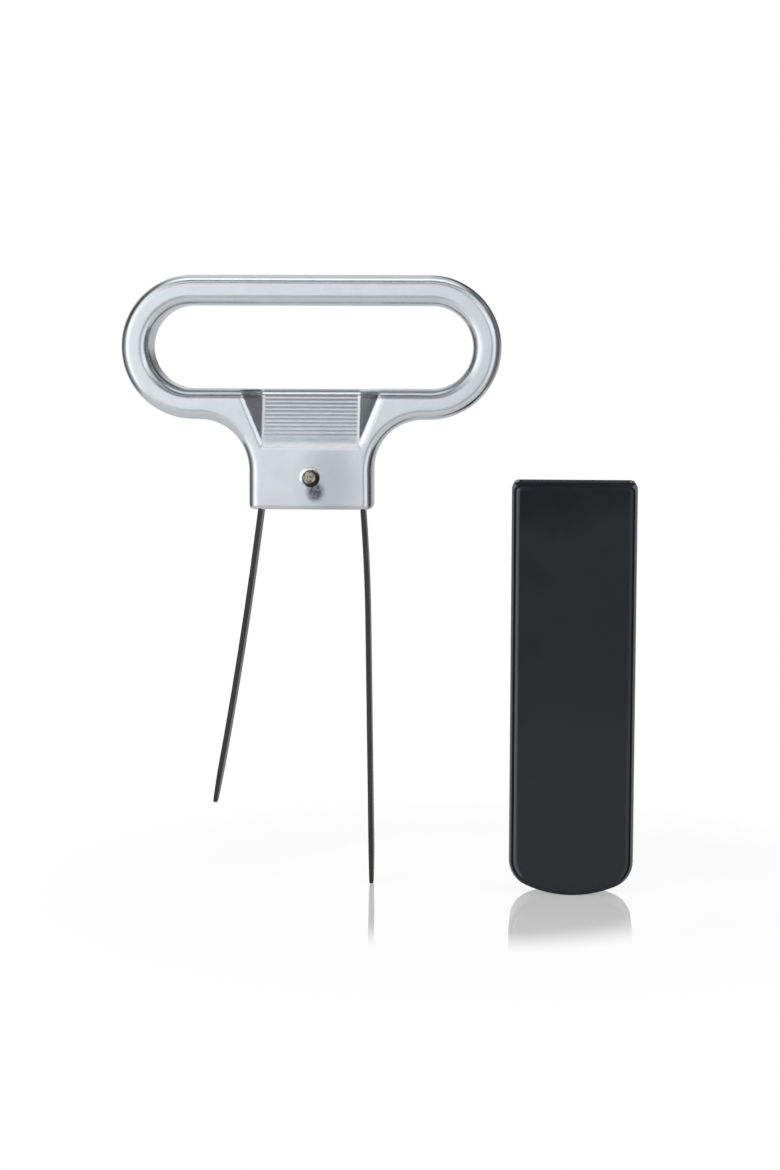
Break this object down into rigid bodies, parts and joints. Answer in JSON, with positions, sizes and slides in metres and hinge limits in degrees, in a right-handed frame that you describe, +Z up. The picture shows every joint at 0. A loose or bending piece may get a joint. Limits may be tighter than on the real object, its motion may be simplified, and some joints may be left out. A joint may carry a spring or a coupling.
{
  "type": "two-prong cork puller",
  "caption": "Cast finger-loop handle with a grooved thumb ramp, a long and a short spring-steel prong that rock on a pin in its block, and a moulded sheath that stands beside it.",
  "frame": {"origin": "middle of the block's underside, the stop face that comes down on the bottle's rim", "axes": "+Z up from the prongs to the finger loop, +X towards the long prong and the sheath, -Y to the front, where the pin stands proud"},
  "size_m": [0.108, 0.0164, 0.1295],
  "materials": {
    "satin_chrome_casting": "satin chrome plating over a zinc casting",
    "cropped_pin_steel": "nickel-grey rod, rough where it was sheared",
    "dark_spring_steel": "dark tempered spring steel, satin",
    "black_sheath_plastic": "satin moulded plastic"
  },
  "bodies": {
    "puller": {"handle": "satin_chrome_casting", "retaining_pin": "cropped_pin_steel"},
    "prongs": {"prong_strip": "dark_spring_steel"},
    "cap": {"sheath": "black_sheath_plastic"}
  },
  "joints": [
    {"name": "prong_rock", "type": "hinge", "parent": "puller", "child": "prongs", "pos_m": [0, 0, 0.0067], "axis": [0, -1, 0], "range_deg": [-2.5, 2.5]},
    {"name": "sheath_stroke", "type": "slide", "parent": "puller", "child": "cap", "axis": [0, 0, 1], "range_m": [0, 0.0807]}
  ]
}
